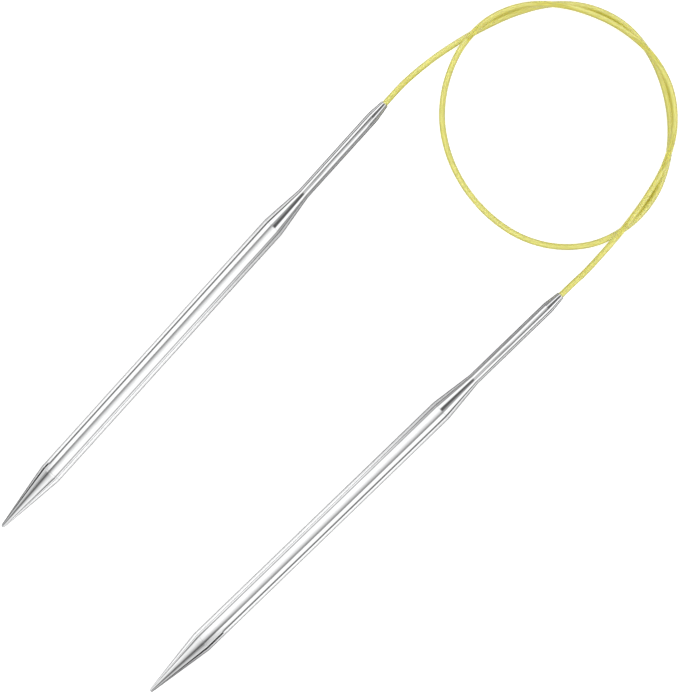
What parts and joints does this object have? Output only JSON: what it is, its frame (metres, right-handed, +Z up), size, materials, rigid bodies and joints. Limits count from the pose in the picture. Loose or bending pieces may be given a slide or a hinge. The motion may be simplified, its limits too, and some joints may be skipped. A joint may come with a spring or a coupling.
{
  "type": "circular knitting needle",
  "caption": "Fixed circular knitting needle: two hollow polished metal needles with tapered points, joined at their narrow necks by one thin flexible plastic cord.",
  "frame": {"origin": "on the resting plane, below the middle of the box round the two needles", "axes": "+Z up from the resting plane; +Y along the needles' middle direction, from their points towards the cord; +X from the left needle to the right one"},
  "size_m": [0.0662, 0.1991, 0.0055],
  "materials": {
    "needle_metal": "polished nickel plate",
    "crimp_metal": "plain",
    "cord_plastic": "translucent, smooth"
  },
  "bodies": {
    "cord": {"cord_loop": "cord_plastic"},
    "left_lead": {"left_cord_lead": "cord_plastic"},
    "left_needle": {"left_point": "needle_metal", "left_shaft": "needle_metal", "left_neck": "needle_metal", "left_crimp": "crimp_metal", "left_cord_tail": "cord_plastic"},
    "right_lead": {"right_cord_lead": "cord_plastic"},
    "right_needle": {"right_point": "needle_metal", "right_shaft": "needle_metal", "right_neck": "needle_metal", "right_crimp": "crimp_metal", "right_cord_tail": "cord_plastic"}
  },
  "joints": [
    {"name": "left_swing", "type": "hinge", "parent": "cord", "child": "left_lead", "pos_m": [-0.03185, 0.0804, 0.0026], "axis": [0, 0, -1], "range_deg": [-10, 60], "stiffness_Nm_per_rad": 0.01},
    {"name": "left_twist", "type": "hinge", "parent": "left_lead", "child": "left_needle", "pos_m": [-0.0318, 0.07165, 0.00273], "axis": [-0.0341, 0.9994, 0], "range_deg": [-90, 90], "stiffness_Nm_per_rad": 0.001},
    {"name": "right_swing", "type": "hinge", "parent": "cord", "child": "right_lead", "pos_m": [0.03215, 0.0768, 0.0026], "axis": [0, 0, 1], "range_deg": [-10, 60], "stiffness_Nm_per_rad": 0.01},
    {"name": "right_twist", "type": "hinge", "parent": "right_lead", "child": "right_needle", "pos_m": [0.0318, 0.06795, 0.00273], "axis": [0.0341, 0.9994, 0], "range_deg": [-90, 90], "stiffness_Nm_per_rad": 0.001}
  ]
}
